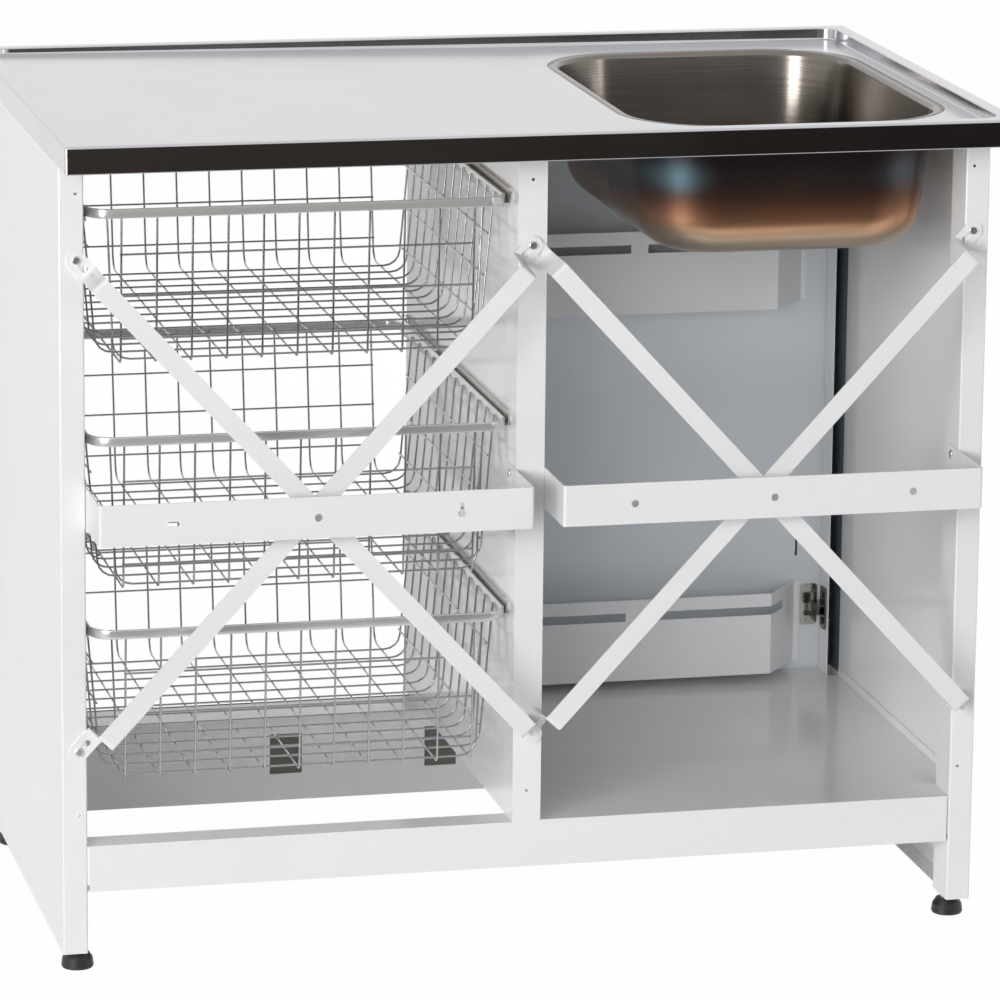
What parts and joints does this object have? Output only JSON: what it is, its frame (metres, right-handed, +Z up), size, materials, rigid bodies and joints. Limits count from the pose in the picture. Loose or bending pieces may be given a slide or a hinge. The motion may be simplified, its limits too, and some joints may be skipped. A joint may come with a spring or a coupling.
{
  "type": "kitchen sink unit",
  "caption": "Free-standing steel kitchen base with a stainless sink top, wire drawer baskets beside a hinged door, diagonal wall-side braces and levelling feet.",
  "frame": {"origin": "on the floor under the middle of the unit's bounding box", "axes": "+Z up, +X to the right seen from the door side, door and basket fronts at -Y, wall side at +Y"},
  "size_m": [1, 0.676, 0.888],
  "materials": {
    "worktop_steel": "brushed stainless, satin",
    "bowl_steel": "drawn stainless, heat-tinted outside",
    "white_steel": "powder coat, semi-gloss white",
    "grey_steel": "powder coat, light grey",
    "runner_steel": "powder coat, pale grey",
    "basket_rim": "silver-grey coating",
    "basket_wire": "silver-grey coating",
    "zinc_screws": "bright zinc plate",
    "nickel_hinge": "nickel plate",
    "handle_steel": "satin",
    "chipboard": "raw board",
    "fibreboard": "raw board, white face",
    "black_plastic": "matt black"
  },
  "bodies": {
    "cabinet": {"worktop": "worktop_steel", "deck_board": "chipboard", "sink_bowl": "bowl_steel", "side_panel_basket_side": "white_steel", "side_panel_bowl_side": "white_steel", "partition": "white_steel", "rear_rail": "white_steel", "front_plinth": "white_steel", "plinth_board": "fibreboard", "floor_tray": "grey_steel", "top_rail_basket_bay": "white_steel", "top_rail_bowl_bay": "white_steel", "crossbar_basket_bay": "white_steel", "crossbar_bowl_bay": "white_steel", "brace_a": "white_steel", "brace_b": "white_steel", "brace_c": "white_steel", "brace_d": "white_steel", "brace_screws": "zinc_screws", "crossbar_screws": "zinc_screws", "runner_screws": "zinc_screws", "runner_top_inner": "runner_steel", "runner_top_outer": "runner_steel", "runner_middle_inner": "runner_steel", "runner_middle_outer": "runner_steel", "runner_bottom_inner": "runner_steel", "runner_bottom_outer": "runner_steel", "hinge_arm_lower": "nickel_hinge", "hinge_arm_upper": "nickel_hinge"},
    "door": {"door_outer": "white_steel", "door_inner": "grey_steel", "door_bin_upper": "grey_steel", "door_bin_lower": "grey_steel", "door_handle": "handle_steel", "hinge_cup_lower": "nickel_hinge", "hinge_cup_upper": "nickel_hinge"},
    "basket_top": {"basket_top_rim": "basket_rim", "basket_top_long_wires": "basket_wire", "basket_top_cross_wires": "basket_wire", "basket_top_wall_wires": "basket_wire"},
    "basket_middle": {"basket_middle_rim": "basket_rim", "basket_middle_long_wires": "basket_wire", "basket_middle_cross_wires": "basket_wire", "basket_middle_wall_wires": "basket_wire"},
    "basket_bottom": {"basket_bottom_rim": "basket_rim", "basket_bottom_long_wires": "basket_wire", "basket_bottom_cross_wires": "basket_wire", "basket_bottom_wall_wires": "basket_wire"},
    "foot_rear_basket": {"foot_pad_rear_basket": "black_plastic", "foot_stud_rear_basket": "zinc_screws"},
    "foot_front_basket": {"foot_pad_front_basket": "black_plastic", "foot_stud_front_basket": "zinc_screws"},
    "foot_rear_bowl": {"foot_pad_rear_bowl": "black_plastic", "foot_stud_rear_bowl": "zinc_screws"},
    "foot_front_bowl": {"foot_pad_front_bowl": "black_plastic", "foot_stud_front_bowl": "zinc_screws"}
  },
  "joints": [
    {"name": "door_hinge", "type": "hinge", "parent": "cabinet", "child": "door", "pos_m": [-0.4891, -0.306, 0.4965], "axis": [0, 0, -1], "range_deg": [0, 105]},
    {"name": "basket_top_slide", "type": "slide", "parent": "cabinet", "child": "basket_top", "axis": [0, -1, 0], "range_m": [-0.014, 0.386]},
    {"name": "basket_middle_slide", "type": "slide", "parent": "cabinet", "child": "basket_middle", "axis": [0, -1, 0], "range_m": [-0.004, 0.396]},
    {"name": "basket_bottom_slide", "type": "slide", "parent": "cabinet", "child": "basket_bottom", "axis": [0, -1, 0], "range_m": [0, 0.4]},
    {"name": "foot_rear_basket_screw", "type": "slide", "parent": "cabinet", "child": "foot_rear_basket", "axis": [0, 0, -1], "range_m": [0, 0.02]},
    {"name": "foot_front_basket_screw", "type": "slide", "parent": "cabinet", "child": "foot_front_basket", "axis": [0, 0, -1], "range_m": [0, 0.02]},
    {"name": "foot_rear_bowl_screw", "type": "slide", "parent": "cabinet", "child": "foot_rear_bowl", "axis": [0, 0, -1], "range_m": [0, 0.02]},
    {"name": "foot_front_bowl_screw", "type": "slide", "parent": "cabinet", "child": "foot_front_bowl", "axis": [0, 0, -1], "range_m": [0, 0.02]}
  ]
}
